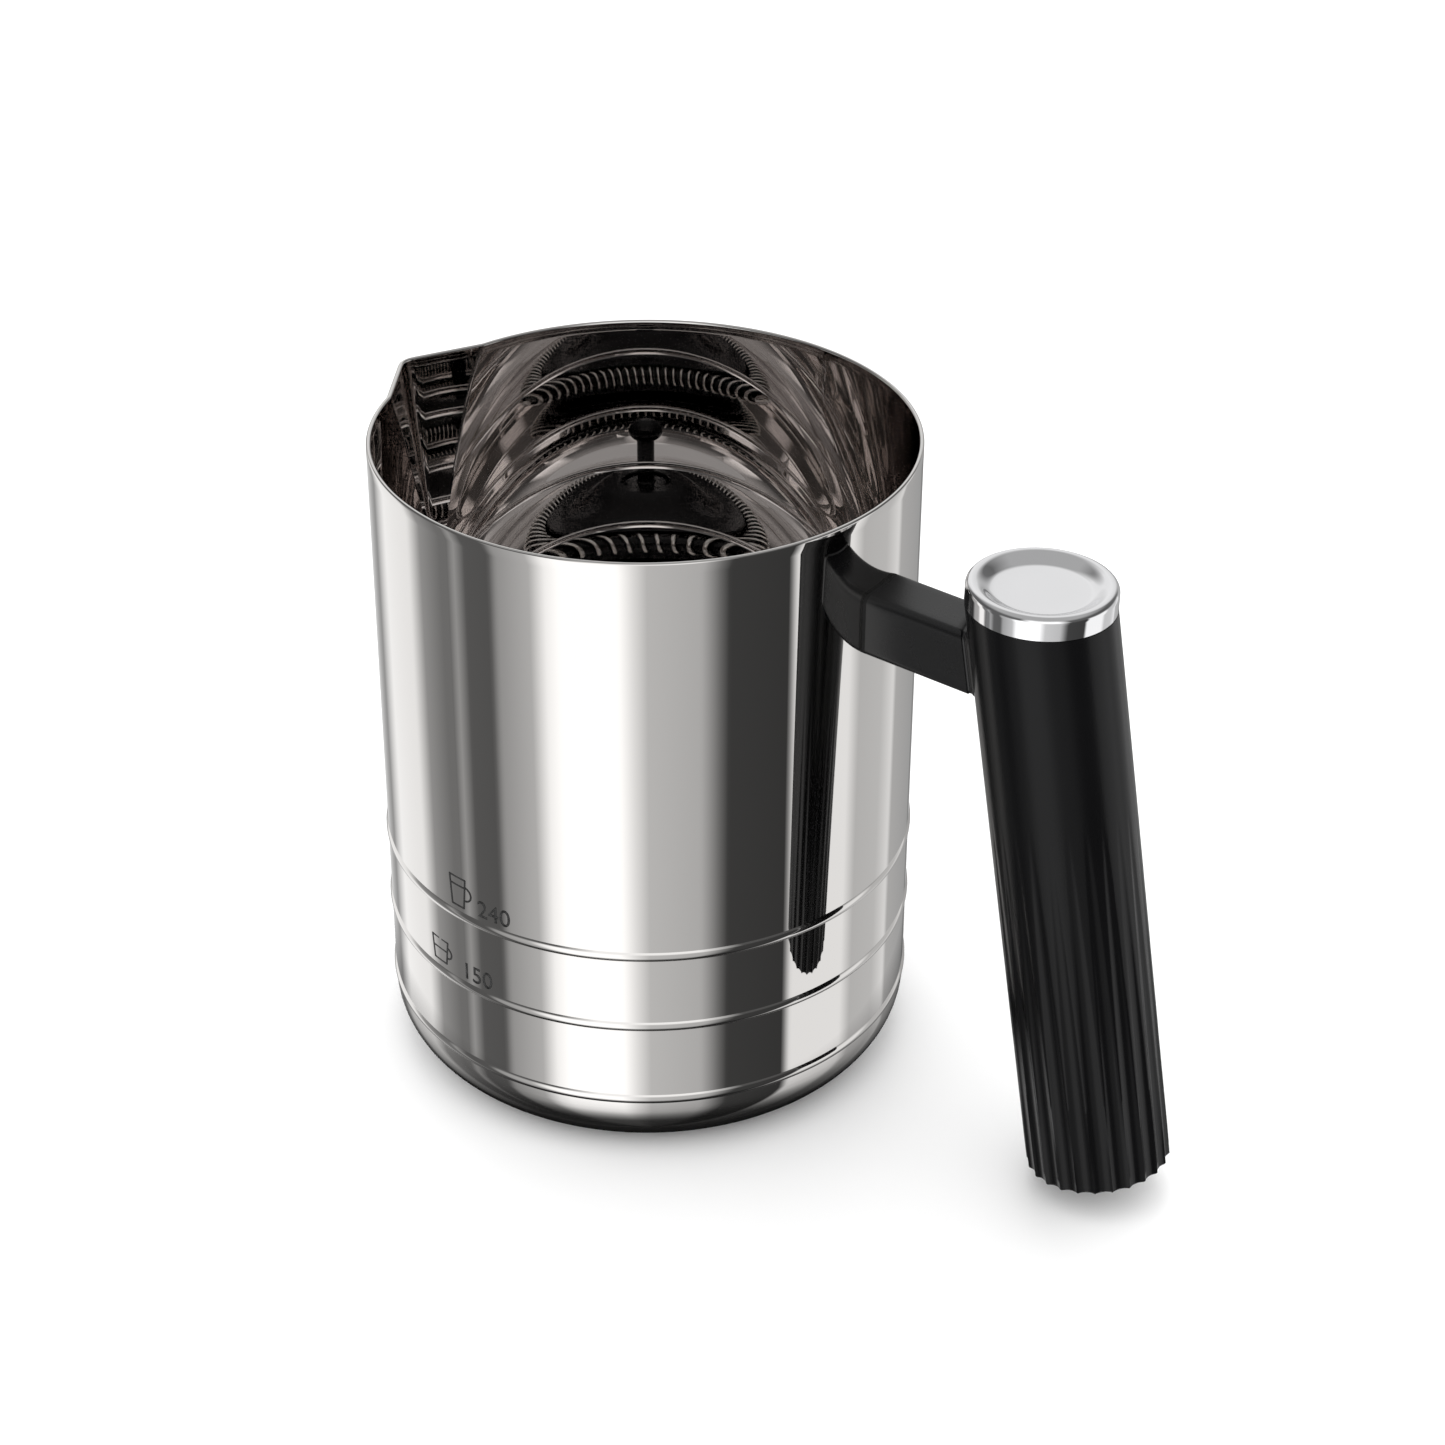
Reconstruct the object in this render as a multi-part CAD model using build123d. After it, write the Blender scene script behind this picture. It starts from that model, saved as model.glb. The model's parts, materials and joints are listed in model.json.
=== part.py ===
from build123d import *
import os
from math import atan2, cos, degrees, radians, sin

# A milk frother: a spouted steel jug with a side grip, and a magnet-driven whisk on a pin in its floor.
# Millimetres. The origin is the centre of the base on the surface it stands on, +Z is up,
# the grip is on +X and the spout on -X.

# ---- driving dimensions: jug ----
JUG_R = 45.0
JUG_H = 113.0
WALL = 0.8
CORNER_R = 10.3
BEAD_HEIGHTS = (12.4, 27.3, 41.2)
BEAD_RAISE = 0.3
BEAD_HALF = 0.85
SPOUT_TIP_R = 50.6
SPOUT_HALF_ANGLE = 60.0
SPOUT_DEPTH = 42.0
SPOUT_ROUND = 3.6
DISC_R = 29.8
DISC_T = 1.0
DISC_GAP = 0.1

# ---- driving dimensions: handle ----
ARM_Z = 93.5
ARM_FALL = 3.6
ARM_W = 10.4
ARM_HIGH = 10.7
ARM_ROUND = 1.5
GASKET_T = 0.6
TENON_W = 7.0
TENON_HIGH = 6.4
TENON_REACH = 29.0
TONGUE_W = 6.0
TONGUE_HIGH = 3.0
TONGUE_END = 17.5
SADDLE_SIDE = 8.0
SADDLE_T = 1.2
POCKET_GAP = 0.1
GRIP_X = 73.0
GRIP_Z = 104.0
GRIP_LEAN = 9.9
GRIP_LENGTH = 100.3
GRIP_R_TOP = 11.6
GRIP_R_BOTTOM = 11.85
SLEEVE_BORE_R = 8.8
CORE_R = 8.6
CORE_BORE_R = 5.5
FLUTES = 25
FLUTE_CUTTER_R = 2.6
FLUTE_DEPTH = 0.5
FLUTE_START = 30.0
CAP_LEAN = 0.8
CAP_R = 11.75
CAP_BAND = 3.2
CAP_RIM_R = 10.6
CAP_RIM_TOP = 3.8
CAP_DISH_R = 7.4
CAP_DISH_DEPTH = 1.3
CAP_SHELL_T = 1.1
CAP_INSIDE_Z = 1.5

# ---- driving dimensions: fasteners and seals ----
TIE_R = 2.0
TIE_HEAD_R = 3.5
TIE_HEAD_T = 2.4
NUT_ACROSS_FLATS = 7.0
NUT_T = 3.2
WASHER_R = 7.0
WASHER_T = 0.8
HEAD_SINK = 1.1
SCREW_R = 1.5
SCREW_HEAD_R = 2.7
SCREW_HEAD_T = 1.5
SCREW_PLACES = (7.5, 14.0)
SEAL_R = 0.5
CLEAR = 0.05

# ---- driving dimensions: whisk ----
PIN_R = 2.0
PIN_FLANGE_R = 5.0
PIN_FLANGE_T = 0.6
PIN_TIP_ROUND = 0.8
PIN_TOP = 11.0
BUSH_R = 3.4
BUSH_COLLAR_R = 4.4
BUSH_COLLAR_T = 0.8
COIL_RING_R = 18.0
COIL_R = 2.3
COIL_Z = 8.8
HUB_R = 16.2
HUB_LOW = 3.4
HUB_RIM_OVER_COIL = 2.4
DOME_R = 13.0
DOME_FLAT_R = 6.0
DOME_TOP = 15.8
DOME_SINK_R = 4.0
DOME_SINK = 1.2
KNOB_R = 2.75
KNOB_STEM_R = 1.4
KNOB_COLLAR_R = 3.4
KNOB_COLLAR_T = 0.6
KNOB_TOP = 30.7
MAGNET_R = 2.8
MAGNET_T = 3.0
MAGNET_RING_R = 9.2
MAGNETS = 4
KEEPER_T = 0.8
COVER_T = 1.0

# ---- heights worked out from them ----
FLOOR_Z = DISC_T + WALL
SCREW_SEAT = -ARM_HIGH / 2 + HEAD_SINK + SCREW_HEAD_T
CORE_TOP = -6.3
CORE_LOW = -95.5
PLUG_LOW = -99.3
TIE_SEAT = PLUG_LOW + TIE_HEAD_T + 0.8
SLEEVE_SEAL_PLACES = (-30.0, -84.0)
PLUG_SEAL_PLACE = (PLUG_LOW + CORE_LOW) / 2
CAP_SEAL_PLACE = -3.7
BUSH_LOW = HUB_LOW + 0.2
BUSH_TOP = PIN_TOP + 1.2
KNOB_SEAT_Z = DOME_TOP - DOME_SINK
KNOB_SOCKET_Z = KNOB_SEAT_Z - 1.4


# ---- shared frames ----
def grip_frame():
    """Frame of the grip: origin at the top of the sleeve's axis, local +Z up along the grip."""
    lean = radians(GRIP_LEAN)
    out = (cos(lean), 0, sin(lean))
    return Plane(origin=(GRIP_X, 0, GRIP_Z), x_dir=out, z_dir=(-sin(lean), 0, cos(lean)))


def cap_frame():
    """Frame of the cap: same origin as the grip's, but nearly level."""
    lean = radians(CAP_LEAN)
    out = (cos(lean), 0, -sin(lean))
    return Plane(origin=(GRIP_X, 0, GRIP_Z), x_dir=out, z_dir=(sin(lean), 0, cos(lean)))


def arm_frame():
    """Frame of the arm: origin on the jug wall, local +Z out along the arm, local +Y up across it."""
    fall = radians(ARM_FALL)
    return Plane(origin=(JUG_R, 0, ARM_Z), x_dir=(0, 1, 0), z_dir=(cos(fall), 0, -sin(fall)))


# ---- shared shapes ----
def rod(radius, low, high):
    """Solid cylinder about local Z between two heights."""
    return Pos(0, 0, (low + high) / 2) * Cylinder(radius, high - low)


def tube(outer, inner, low, high):
    return rod(outer, low, high) - rod(inner, low - 1, high + 1)


def o_ring(radius, height):
    return Pos(0, 0, height) * Torus(radius, SEAL_R)


def seal_groove(height):
    """Square groove for an O-ring that seals against the sleeve's bore."""
    return tube(SLEEVE_BORE_R + 1, SLEEVE_BORE_R - 2 * SEAL_R, height - SEAL_R, height + SEAL_R)


def turned(*edges):
    """Solid of revolution about Z from a closed outline in the XZ plane."""
    return revolve(make_face(Curve() + list(edges)), Axis.Z)


# ---- jug ----
def wall_outline(radius, corner, step_r, floor_heights, top):
    """Closed outline from the axis along the floor, round the corner and up the beaded wall."""
    step_z, foot_z = floor_heights
    foot_r = JUG_R - CORNER_R
    corner_z = CORNER_R
    edges = [
        Line((0, 0, step_z), (step_r, 0, step_z)),
        Line((step_r, 0, step_z), (step_r, 0, foot_z)),
        Line((step_r, 0, foot_z), (foot_r, 0, foot_z)),
    ]
    bend = corner * sin(radians(45))
    middle = (foot_r + bend, 0, corner_z - bend)
    edges.append(ThreePointArc((foot_r, 0, foot_z), middle, (radius, 0, corner_z)))
    height = corner_z
    for bead in BEAD_HEIGHTS:
        start = (radius, 0, bead - BEAD_HALF)
        crest = (radius + BEAD_RAISE, 0, bead)
        end = (radius, 0, bead + BEAD_HALF)
        edges.append(Line((radius, 0, height), start))
        edges.append(ThreePointArc(start, crest, end))
        height = bead + BEAD_HALF
    edges.append(Line((radius, 0, height), (radius, 0, top)))
    edges.append(Line((radius, 0, top), (0, 0, top)))
    edges.append(Line((0, 0, top), (0, 0, step_z)))
    return edges


def spout_wedge(inset, top):
    """Cone with a rounded V outline that leaves the wall towards -X and narrows to a point down the wall."""
    half = radians(SPOUT_HALF_ANGLE)
    tip = SPOUT_TIP_R - inset / sin(half)
    apex_x = JUG_R - inset / sin(half)
    side = 15.0
    slope = SPOUT_DEPTH / (SPOUT_TIP_R - JUG_R)
    rise = top - JUG_H
    tip_top = tip + rise / slope
    outline = Polyline(
        (-tip_top, 0),
        (-tip_top + side * cos(half), side * sin(half)),
        (-JUG_R / 2, 0),
        (-tip_top + side * cos(half), -side * sin(half)),
        close=True,
    )
    face = make_face(outline)
    corner = face.vertices().sort_by(Axis.X)[0]
    rounded = fillet(corner, SPOUT_ROUND - inset)
    apex = Vertex(-apex_x, 0, JUG_H - SPOUT_DEPTH)
    return loft([Pos(0, 0, top) * rounded, apex])


def jug_body():
    recess_r = DISC_R + DISC_GAP
    outside = turned(*wall_outline(JUG_R, CORNER_R, recess_r, (DISC_T, 0.0), JUG_H))
    outside = outside + spout_wedge(0.0, JUG_H)
    inner = JUG_R - WALL
    inside = turned(*wall_outline(inner, CORNER_R - WALL, recess_r + WALL, (FLOOR_Z, WALL), JUG_H + 1))
    inside = inside + spout_wedge(WALL, JUG_H + 1)
    return outside - inside


def base_disc():
    return rod(DISC_R, 0, DISC_T)


def whisk_pin():
    flange_top = FLOOR_Z + PIN_FLANGE_T
    flange = rod(PIN_FLANGE_R, FLOOR_Z, flange_top)
    pin = rod(PIN_R, flange_top, PIN_TOP)
    tip_edge = pin.edges().filter_by(GeomType.CIRCLE).sort_by(Axis.Z)[-1]
    return flange + fillet(tip_edge, PIN_TIP_ROUND)


# ---- arm and its fixing to the wall ----
def arm_bar(width, high, corner, start, end):
    """Bar of rounded rectangular section along the arm."""
    return extrude(Pos(0, 0, start) * RectangleRounded(width, high, corner), end - start)


def arm_block(width, high, start, end):
    return extrude(Pos(0, 0, start) * Rectangle(width, high), end - start)


def wall_side(radius):
    """Everything nearer to the jug's axis than a radius, over the height of the arm."""
    return rod(radius, ARM_Z - 2 * ARM_HIGH, ARM_Z + 2 * ARM_HIGH)


def screw_axis_hole(radius, place, low, high):
    """Cylinder across the arm, at a distance out from the wall."""
    return Pos(0, 0, place) * Rot(-90, 0, 0) * rod(radius, low, high)


def wall_bracket():
    saddle = arm_block(SADDLE_SIDE, SADDLE_SIDE, -2, 6)
    saddle = arm_frame() * saddle & wall_side(JUG_R + SADDLE_T)
    tongue = arm_block(TONGUE_W, TONGUE_HIGH, 0, TONGUE_END)
    for place in SCREW_PLACES:
        tongue -= screw_axis_hole(SCREW_R, place, -5, 5)
    return (saddle + arm_frame() * tongue) - wall_side(JUG_R)


def arm_gasket():
    ring = arm_bar(ARM_W, ARM_HIGH, ARM_ROUND, -2, 6)
    ring -= arm_block(SADDLE_SIDE + 2 * POCKET_GAP, SADDLE_SIDE + 2 * POCKET_GAP, -3, 7)
    ring = arm_frame() * ring
    return (ring & wall_side(JUG_R + GASKET_T)) - wall_side(JUG_R)


def handle_arm():
    """Straight arm with a pocket for the bracket, and a tenon that crosses the grip's core."""
    bar = arm_frame() * arm_bar(ARM_W, ARM_HIGH, ARM_ROUND, 0, 30)
    bar -= grip_frame() * rod(SLEEVE_BORE_R - CLEAR, -40, 20)
    tenon_end = arm_frame() * arm_block(TENON_W, TENON_HIGH, TENON_REACH - 1, TENON_REACH + 8)
    tenon_end &= grip_frame() * rod(CORE_BORE_R - CLEAR, -40, 20)
    tenon = arm_frame() * arm_block(TENON_W, TENON_HIGH, TONGUE_END + 0.5, TENON_REACH)
    arm = bar + tenon + tenon_end
    slack = 2 * POCKET_GAP
    arm -= arm_frame() * arm_block(TONGUE_W + slack, TONGUE_HIGH + slack, -3, TONGUE_END + 0.5)
    saddle_room = arm_block(SADDLE_SIDE + slack, SADDLE_SIDE + slack, -3, 6)
    arm -= (arm_frame() * saddle_room) & wall_side(JUG_R + SADDLE_T + POCKET_GAP)
    arm -= wall_side(JUG_R + GASKET_T)
    arm -= grip_frame() * rod(TIE_R + CLEAR, -40, 20)
    for place in SCREW_PLACES:
        arm -= arm_frame() * screw_axis_hole(SCREW_R + CLEAR, place, -9, 0)
        arm -= arm_frame() * screw_axis_hole(SCREW_HEAD_R + CLEAR, place, -9, SCREW_SEAT)
    return arm


def bracket_screws():
    """Two pan-head screws that stand up through the arm into the tongue."""
    screws = []
    for place in SCREW_PLACES:
        head = screw_axis_hole(SCREW_HEAD_R, place, SCREW_SEAT - SCREW_HEAD_T, SCREW_SEAT)
        shank = screw_axis_hole(SCREW_R, place, SCREW_SEAT, TONGUE_HIGH / 2)
        foot = Pos(0, 0, place) * Rot(-90, 0, 0) * Pos(0, 0, SCREW_SEAT - SCREW_HEAD_T)
        socket = foot * extrude(RegularPolygon(1.15, 6), 0.9)
        screws.append(arm_frame() * (head + shank - socket))
    return Compound(children=screws)


def screw_plugs():
    low = -ARM_HIGH / 2
    shapes = [screw_axis_hole(SCREW_HEAD_R, place, low, low + HEAD_SINK) for place in SCREW_PLACES]
    return Compound(children=[arm_frame() * shape for shape in shapes])


# ---- grip ----
def below_cap(gap):
    """Everything under the cap's plane, less a gap."""
    side = 2 * GRIP_LENGTH
    return cap_frame() * Pos(0, 0, -side / 2 - gap) * Box(side, side, side)


def grip_sleeve():
    """Tapered tube whose flutes run in from nothing and deepen towards the lower end."""
    outline = [
        Line((SLEEVE_BORE_R, 0, 5), (GRIP_R_TOP, 0, 5)),
        Line((GRIP_R_TOP, 0, 5), (GRIP_R_BOTTOM, 0, -GRIP_LENGTH)),
        Line((GRIP_R_BOTTOM, 0, -GRIP_LENGTH), (SLEEVE_BORE_R, 0, -GRIP_LENGTH)),
        Line((SLEEVE_BORE_R, 0, -GRIP_LENGTH), (SLEEVE_BORE_R, 0, 5)),
    ]
    sleeve = turned(*outline)
    pitch = 360 / FLUTES
    chord_r = GRIP_R_BOTTOM * cos(radians(pitch / 2))
    low_r = chord_r + FLUTE_CUTTER_R - FLUTE_DEPTH
    high_r = GRIP_R_TOP + FLUTE_CUTTER_R + 0.1
    run = GRIP_LENGTH - FLUTE_START
    tilt = degrees(atan2(high_r - low_r, run))
    cutter = Pos(low_r, 0, -GRIP_LENGTH) * Rot(0, tilt, 0) * rod(FLUTE_CUTTER_R, -5, run)
    cutters = [Rot(0, 0, pitch * index) * cutter for index in range(FLUTES)]
    sleeve = grip_frame() * (sleeve - cutters)
    sleeve = sleeve & below_cap(0)
    return sleeve - arm_frame() * arm_bar(ARM_W + 0.2, ARM_HIGH + 0.2, ARM_ROUND + 0.1, 0, 30)


def grip_core():
    core = tube(CORE_R, CORE_BORE_R, CORE_LOW, CORE_TOP)
    for place in SLEEVE_SEAL_PLACES:
        core -= seal_groove(place)
    core = grip_frame() * core
    return core - arm_frame() * arm_block(TENON_W + 2 * CLEAR, TENON_HIGH + 2 * CLEAR, 0, 30)


def sleeve_seals():
    rings = [grip_frame() * o_ring(SLEEVE_BORE_R - SEAL_R, place) for place in SLEEVE_SEAL_PLACES]
    return Compound(children=rings)


def tie_washer():
    return grip_frame() * tube(WASHER_R, TIE_R + CLEAR, CORE_TOP, CORE_TOP + WASHER_T)


def tie_nut():
    low = CORE_TOP + WASHER_T
    nut = Pos(0, 0, low) * extrude(RegularPolygon(NUT_ACROSS_FLATS / 2, 6, major_radius=False), NUT_T)
    return grip_frame() * (nut - rod(TIE_R, low - 1, low + NUT_T + 1))


def tie_screw():
    top = CORE_TOP + WASHER_T + NUT_T + 0.8
    shank = rod(TIE_R, TIE_SEAT, top)
    head = rod(TIE_HEAD_R, TIE_SEAT - TIE_HEAD_T, TIE_SEAT)
    socket = Pos(0, 0, TIE_SEAT - TIE_HEAD_T) * extrude(RegularPolygon(1.6, 6), 1.4)
    return grip_frame() * (head + shank - socket)


def bottom_plug():
    """Stepped plug: a spigot in the core's bore, and a flange across the end of the sleeve."""
    plug = rod(SLEEVE_BORE_R - CLEAR, PLUG_LOW, CORE_LOW)
    plug += rod(CORE_BORE_R - CLEAR, CORE_LOW, CORE_LOW + 6)
    plug -= rod(TIE_HEAD_R + CLEAR, PLUG_LOW - 1, TIE_SEAT)
    plug -= rod(TIE_R + CLEAR, TIE_SEAT - 1, CORE_LOW + 7)
    return grip_frame() * (plug - seal_groove(PLUG_SEAL_PLACE))


def plug_seal():
    return grip_frame() * o_ring(SLEEVE_BORE_R - SEAL_R, PLUG_SEAL_PLACE)


def plug_cover():
    return grip_frame() * rod(TIE_HEAD_R, PLUG_LOW, PLUG_LOW + 0.7)


def cap_carrier():
    """Moulded disc under the chrome shell, with a skirt that the seal sits on."""
    disc = rod(CAP_R - CAP_SHELL_T - CLEAR, 0.1, CAP_INSIDE_Z)
    carrier = cap_frame() * disc
    skirt = tube(SLEEVE_BORE_R - CLEAR, SLEEVE_BORE_R - 1.8, CAP_SEAL_PLACE - 1.3, 3)
    skirt -= seal_groove(CAP_SEAL_PLACE)
    return carrier + (grip_frame() * skirt & below_cap(-0.2))


def cap_seal():
    return grip_frame() * o_ring(SLEEVE_BORE_R - SEAL_R, CAP_SEAL_PLACE)


def end_cap():
    """Chrome shell: upright band, rounded raised rim and a slope down to a flat dished middle."""
    rim = (CAP_RIM_R, 0, CAP_RIM_TOP)
    shoulder_z = CAP_BAND - 0.4
    slant = sin(radians(45))
    round_r = CAP_R - CAP_RIM_R
    bulge = (CAP_RIM_R + round_r * slant, 0, shoulder_z + (CAP_RIM_TOP - shoulder_z) * slant)
    dish = (CAP_DISH_R, 0, CAP_RIM_TOP - CAP_DISH_DEPTH)
    inside_r = CAP_R - CAP_SHELL_T
    outline = [
        Line((inside_r, 0, 0), (CAP_R, 0, 0)),
        Line((CAP_R, 0, 0), (CAP_R, 0, shoulder_z)),
        ThreePointArc((CAP_R, 0, shoulder_z), bulge, rim),
        Spline(rim, dish, tangents=((-1, 0, 0), (-1, 0, 0))),
        Line(dish, (0, 0, dish[2])),
        Line((0, 0, dish[2]), (0, 0, CAP_INSIDE_Z)),
        Line((0, 0, CAP_INSIDE_Z), (inside_r, 0, CAP_INSIDE_Z)),
        Line((inside_r, 0, CAP_INSIDE_Z), (inside_r, 0, 0)),
    ]
    return cap_frame() * turned(*outline)


# ---- whisk ----
def bearing_bush():
    """Blind bush that rests on the tip of the pin, with a collar that the cover keeps in the hub."""
    collar_low = HUB_LOW + COVER_T + CLEAR
    collar = rod(BUSH_COLLAR_R, collar_low, collar_low + BUSH_COLLAR_T)
    bush = rod(BUSH_R, BUSH_LOW, BUSH_TOP) + collar
    return bush - rod(PIN_R + CLEAR, BUSH_LOW - 1, PIN_TOP)


def whisk_hub():
    """Round hub with a domed top, a rim groove for the coil, and pockets for bush, keeper and magnets."""
    rim_top = COIL_Z + HUB_RIM_OVER_COIL
    body = rod(HUB_R, HUB_LOW + COVER_T, rim_top)
    dome = [
        Line((0, 0, COIL_Z), (DOME_R, 0, COIL_Z)),
        Line((DOME_R, 0, COIL_Z), (DOME_R, 0, rim_top)),
        Spline((DOME_R, 0, rim_top), (DOME_FLAT_R, 0, DOME_TOP), tangents=((-0.6, 0, 1), (-1, 0, 0.1))),
        Line((DOME_FLAT_R, 0, DOME_TOP), (0, 0, DOME_TOP)),
        Line((0, 0, DOME_TOP), (0, 0, COIL_Z)),
    ]
    hub = body + turned(*dome)
    hub -= Pos(0, 0, COIL_Z) * Torus(COIL_RING_R, COIL_R + CLEAR)
    hub -= rod(BUSH_R + CLEAR, HUB_LOW - 1, BUSH_TOP + CLEAR)
    hub -= rod(BUSH_COLLAR_R + CLEAR, HUB_LOW - 1, HUB_LOW + COVER_T + BUSH_COLLAR_T + 2 * CLEAR)
    magnet_top = HUB_LOW + COVER_T + MAGNET_T
    hub -= tube(MAGNET_RING_R + MAGNET_R, MAGNET_RING_R - MAGNET_R, magnet_top, magnet_top + KEEPER_T)
    hub -= magnet_shapes(MAGNET_R, HUB_LOW, magnet_top + 0.1)
    hub -= rod(DOME_SINK_R, KNOB_SEAT_Z, DOME_TOP + 1)
    return hub - rod(KNOB_STEM_R, KNOB_SOCKET_Z, DOME_TOP)


def magnet_shapes(radius, low, high):
    spots = PolarLocations(MAGNET_RING_R, MAGNETS)
    return [spot * rod(radius, low, high) for spot in spots]


def drive_magnets():
    low = HUB_LOW + COVER_T
    return Compound(children=magnet_shapes(MAGNET_R - CLEAR, low, low + MAGNET_T))


def keeper_ring():
    low = HUB_LOW + COVER_T + MAGNET_T
    return tube(MAGNET_RING_R + MAGNET_R - CLEAR, MAGNET_RING_R - MAGNET_R + CLEAR, low, low + KEEPER_T)


def whisk_cover():
    return tube(HUB_R - 1.0, BUSH_R + CLEAR, HUB_LOW, HUB_LOW + COVER_T)


def whisk_knob():
    """Ball on a thin stem to lift the whisk by, with a collar that seats in the dome."""
    ball_z = KNOB_TOP - KNOB_R
    neck_z = ball_z - (KNOB_R**2 - KNOB_STEM_R**2) ** 0.5
    collar_top = KNOB_SEAT_Z + KNOB_COLLAR_T
    outline = [
        Line((0, 0, KNOB_SOCKET_Z), (KNOB_STEM_R, 0, KNOB_SOCKET_Z)),
        Line((KNOB_STEM_R, 0, KNOB_SOCKET_Z), (KNOB_STEM_R, 0, KNOB_SEAT_Z)),
        Line((KNOB_STEM_R, 0, KNOB_SEAT_Z), (KNOB_COLLAR_R, 0, KNOB_SEAT_Z)),
        Line((KNOB_COLLAR_R, 0, KNOB_SEAT_Z), (KNOB_COLLAR_R, 0, collar_top)),
        Line((KNOB_COLLAR_R, 0, collar_top), (KNOB_STEM_R, 0, collar_top)),
        Line((KNOB_STEM_R, 0, collar_top), (KNOB_STEM_R, 0, neck_z)),
        ThreePointArc((KNOB_STEM_R, 0, neck_z), (KNOB_R, 0, ball_z), (0, 0, KNOB_TOP)),
        Line((0, 0, KNOB_TOP), (0, 0, KNOB_SOCKET_Z)),
    ]
    return turned(*outline)


def whisk_coil():
    """Envelope of the spring ring: the ring that its turns fill."""
    return Pos(0, 0, COIL_Z) * Torus(COIL_RING_R, COIL_R)


PIECES = (
    jug_body,
    base_disc,
    whisk_pin,
    wall_bracket,
    arm_gasket,
    handle_arm,
    bracket_screws,
    screw_plugs,
    grip_sleeve,
    grip_core,
    sleeve_seals,
    tie_washer,
    tie_nut,
    tie_screw,
    bottom_plug,
    plug_seal,
    plug_cover,
    cap_carrier,
    cap_seal,
    end_cap,
    bearing_bush,
    whisk_hub,
    drive_magnets,
    keeper_ring,
    whisk_cover,
    whisk_knob,
    whisk_coil,
)

os.makedirs("parts", exist_ok=True)
for piece in PIECES:
    export_step(piece(), f"parts/{piece.__name__}.step")
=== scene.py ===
import json
from math import acos, asin, atan2, ceil, cos, degrees, hypot, pi, radians, sin, sqrt

import bpy
from mathutils import Matrix, Vector


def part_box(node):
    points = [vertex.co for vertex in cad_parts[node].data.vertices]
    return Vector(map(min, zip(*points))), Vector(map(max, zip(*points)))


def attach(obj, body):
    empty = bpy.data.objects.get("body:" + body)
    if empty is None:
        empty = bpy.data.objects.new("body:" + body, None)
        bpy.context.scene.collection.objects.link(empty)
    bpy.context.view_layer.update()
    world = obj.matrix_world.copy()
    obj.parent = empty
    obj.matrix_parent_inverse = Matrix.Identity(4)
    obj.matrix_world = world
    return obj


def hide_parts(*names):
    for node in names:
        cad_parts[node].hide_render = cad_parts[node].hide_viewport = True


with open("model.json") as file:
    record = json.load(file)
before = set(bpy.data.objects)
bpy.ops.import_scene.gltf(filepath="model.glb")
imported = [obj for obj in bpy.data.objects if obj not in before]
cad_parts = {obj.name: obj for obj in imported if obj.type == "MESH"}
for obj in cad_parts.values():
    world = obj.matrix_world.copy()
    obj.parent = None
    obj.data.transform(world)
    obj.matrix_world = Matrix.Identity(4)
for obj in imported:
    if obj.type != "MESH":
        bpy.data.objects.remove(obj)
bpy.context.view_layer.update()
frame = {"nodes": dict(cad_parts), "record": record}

MM = 0.001
nodes = frame["nodes"]

# ---- sizes read from the frame, in mm ----
RIM_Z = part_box("jug_body")[1].z / MM
BEAD_RAISE = 0.3
JUG_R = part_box("jug_body")[1].y / MM - BEAD_RAISE
DISC_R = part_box("base_disc")[1].y / MM
DISC_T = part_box("base_disc")[1].z / MM
HUB_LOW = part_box("whisk_cover")[0].z / MM
HUB_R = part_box("whisk_hub")[1].x / MM
DOME_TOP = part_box("whisk_hub")[1].z / MM
KNOB_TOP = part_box("whisk_knob")[1].z / MM
KNOB_COLLAR_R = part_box("whisk_knob")[1].x / MM
COIL_Z = (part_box("whisk_coil")[0].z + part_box("whisk_coil")[1].z) / 2 / MM
COIL_R = (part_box("whisk_coil")[1].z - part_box("whisk_coil")[0].z) / 2 / MM
COIL_RING_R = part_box("whisk_coil")[1].x / MM - COIL_R
ARM_HALF_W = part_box("handle_arm")[1].y / MM

# ---- sizes of the design, in mm ----
WALL = 0.8
DISC_GAP = 0.1
CORNER_R = 10.3
BEAD_HEIGHTS = (12.4, 27.3, 41.2)
BEAD_HALF = 0.85
SPOUT_TIP_R = 50.6
SPOUT_HALF_ANGLE = radians(60)
SPOUT_DEPTH = 42.0
SPOUT_ROUND = 3.6
ARM_Z = 93.5
ARM_FALL = radians(3.6)
ARM_HALF_H = 5.35
ARM_ROUND = 1.5
GASKET_T = 0.6
GRIP_X = 73.0
GRIP_Z = 104.0
GRIP_LEAN = radians(9.9)
GRIP_LENGTH = 100.3
GRIP_R_TOP = 11.6
GRIP_R_BOTTOM = 11.85
SLEEVE_BORE_R = 8.8
FLUTES = 25
FLUTE_CUTTER_R = 2.6
FLUTE_DEPTH = 0.5
FLUTE_START = 30.0
CAP_LEAN = radians(0.8)
CAP_R = 11.75
CAP_SHELL_T = 1.1
CAP_EDGE = 1.0
CAP_RIM_R = 10.6
CAP_RIM_TOP = 3.8
CAP_DISH_R = 7.4
CAP_DISH_DEPTH = 1.3
COVER_T = 1.0
HUB_RIM_OVER_COIL = 2.4
DOME_R = 13.0
DOME_FLAT_R = 6.0
DOME_SINK_R = 4.0
DOME_SINK = 1.2
KNOB_R = 2.75
KNOB_STEM_R = 1.4
KNOB_COLLAR_T = 0.6
WIRE_R = 0.32
COIL_TURNS = 60
CORE_GAP = 0.15


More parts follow.
